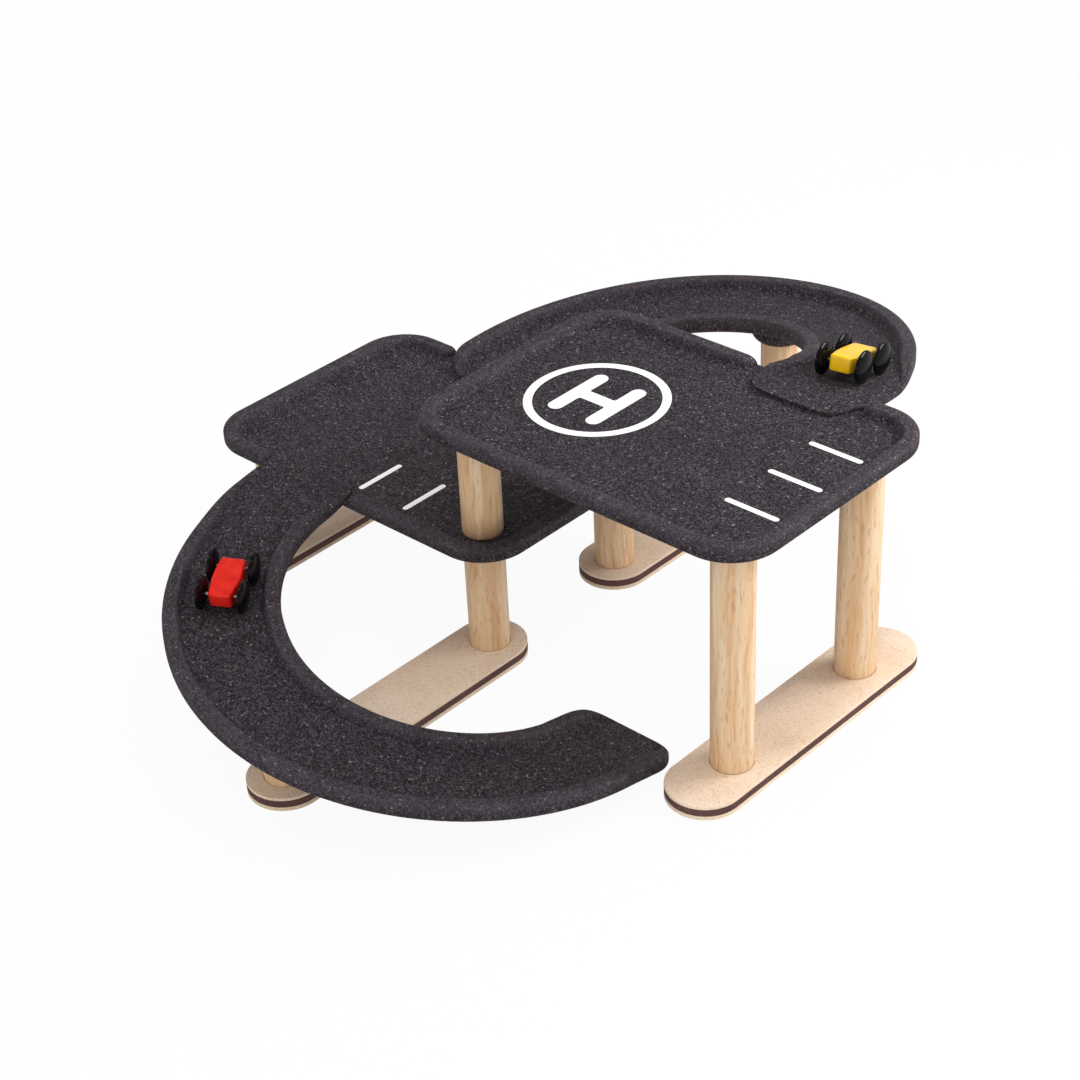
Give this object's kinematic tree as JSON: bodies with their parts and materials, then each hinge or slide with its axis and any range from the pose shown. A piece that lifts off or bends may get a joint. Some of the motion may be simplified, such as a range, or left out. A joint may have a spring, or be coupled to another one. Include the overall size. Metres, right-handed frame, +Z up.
{
  "type": "toy parking garage",
  "caption": "Toy parking garage with two raised rectangular decks on round posts, two curved ramps with raised rims, and two small rolling cars.",
  "frame": {"origin": "On the ground, under the middle of the whole toy.", "axes": "+Z up. +X from the lower deck towards the upper deck. +Y towards the upper ramp, along the longest side of the toy."},
  "size_m": [0.4884, 0.5814, 0.209],
  "materials": {
    "pressed_composite": "matte charcoal pressed wood composite with fine light specks",
    "post_wood": "pale close-grained wood, satin",
    "pale_board": "pale wood board, satin",
    "dark_core": "dark brown pressed core",
    "speckled_board": "beige speckled pressed board, satin",
    "yellow_paint": "glossy yellow paint on a wooden block",
    "red_paint": "glossy red paint on a wooden block",
    "black_wheel": "glossy black",
    "polished_steel": "polished steel pin"
  },
  "bodies": {
    "garage": {"upper_deck": "pressed_composite", "lower_deck": "pressed_composite", "back_long_foot_bottom_board": "pale_board", "back_long_foot_core_board": "dark_core", "back_long_foot_top_board": "speckled_board", "front_long_foot_bottom_board": "pale_board", "front_long_foot_core_board": "dark_core", "front_long_foot_top_board": "speckled_board", "right_foot_bottom_board": "pale_board", "right_foot_core_board": "dark_core", "right_foot_top_board": "speckled_board", "left_foot_bottom_board": "pale_board", "left_foot_core_board": "dark_core", "left_foot_top_board": "speckled_board", "right_back_post": "post_wood", "left_back_post": "post_wood", "middle_back_lower_post": "post_wood", "middle_back_upper_post": "post_wood", "right_front_post": "post_wood", "left_front_post": "post_wood", "middle_front_lower_post": "post_wood", "middle_front_upper_post": "post_wood", "upper_ramp_post": "post_wood", "lower_ramp_post": "post_wood"},
    "upper_ramp": {"upper_ramp": "pressed_composite"},
    "lower_ramp": {"lower_ramp": "pressed_composite"},
    "yellow_car": {"yellow_car_body": "yellow_paint"},
    "yellow_car_front_wheels": {"yellow_car_front_axle": "polished_steel", "yellow_car_front_left_wheel": "black_wheel", "yellow_car_front_right_wheel": "black_wheel"},
    "yellow_car_rear_wheels": {"yellow_car_rear_axle": "polished_steel", "yellow_car_rear_left_wheel": "black_wheel", "yellow_car_rear_right_wheel": "black_wheel"},
    "red_car": {"red_car_body": "red_paint"},
    "red_car_front_wheels": {"red_car_front_axle": "polished_steel", "red_car_front_left_wheel": "black_wheel", "red_car_front_right_wheel": "black_wheel"},
    "red_car_rear_wheels": {"red_car_rear_axle": "polished_steel", "red_car_rear_left_wheel": "black_wheel", "red_car_rear_right_wheel": "black_wheel"}
  },
  "joints": [
    {"name": "upper_ramp_lift", "type": "slide", "parent": "garage", "child": "upper_ramp", "axis": [0, 0, 1], "range_m": [0, 0.06]},
    {"name": "lower_ramp_lift", "type": "slide", "parent": "garage", "child": "lower_ramp", "axis": [0, 0, 1], "range_m": [0, 0.06]},
    {"name": "yellow_car_lift", "type": "slide", "parent": "upper_ramp", "child": "yellow_car", "axis": [0, 0, 1], "range_m": [0, 0.06]},
    {"name": "yellow_car_front_wheels_spin", "type": "hinge", "parent": "yellow_car", "child": "yellow_car_front_wheels", "pos_m": [0.15428, 0.12874, 0.19732], "axis": [0.9905, 0.1346, 0.0268], "continuous": true},
    {"name": "yellow_car_rear_wheels_spin", "type": "hinge", "parent": "yellow_car", "child": "yellow_car_rear_wheels", "pos_m": [0.15099, 0.1541, 0.19165], "axis": [0.9905, 0.1346, 0.0268], "continuous": true},
    {"name": "red_car_lift", "type": "slide", "parent": "lower_ramp", "child": "red_car", "axis": [0, 0, 1], "range_m": [0, 0.06]},
    {"name": "red_car_front_wheels_spin", "type": "hinge", "parent": "red_car", "child": "red_car_front_wheels", "pos_m": [-0.0882, -0.21214, 0.09184], "axis": [0.8563, 0.5158, -0.0272], "continuous": true},
    {"name": "red_car_rear_wheels_spin", "type": "hinge", "parent": "red_car", "child": "red_car_rear_wheels", "pos_m": [-0.10135, -0.19004, 0.09681], "axis": [0.8563, 0.5158, -0.0272], "continuous": true}
  ]
}
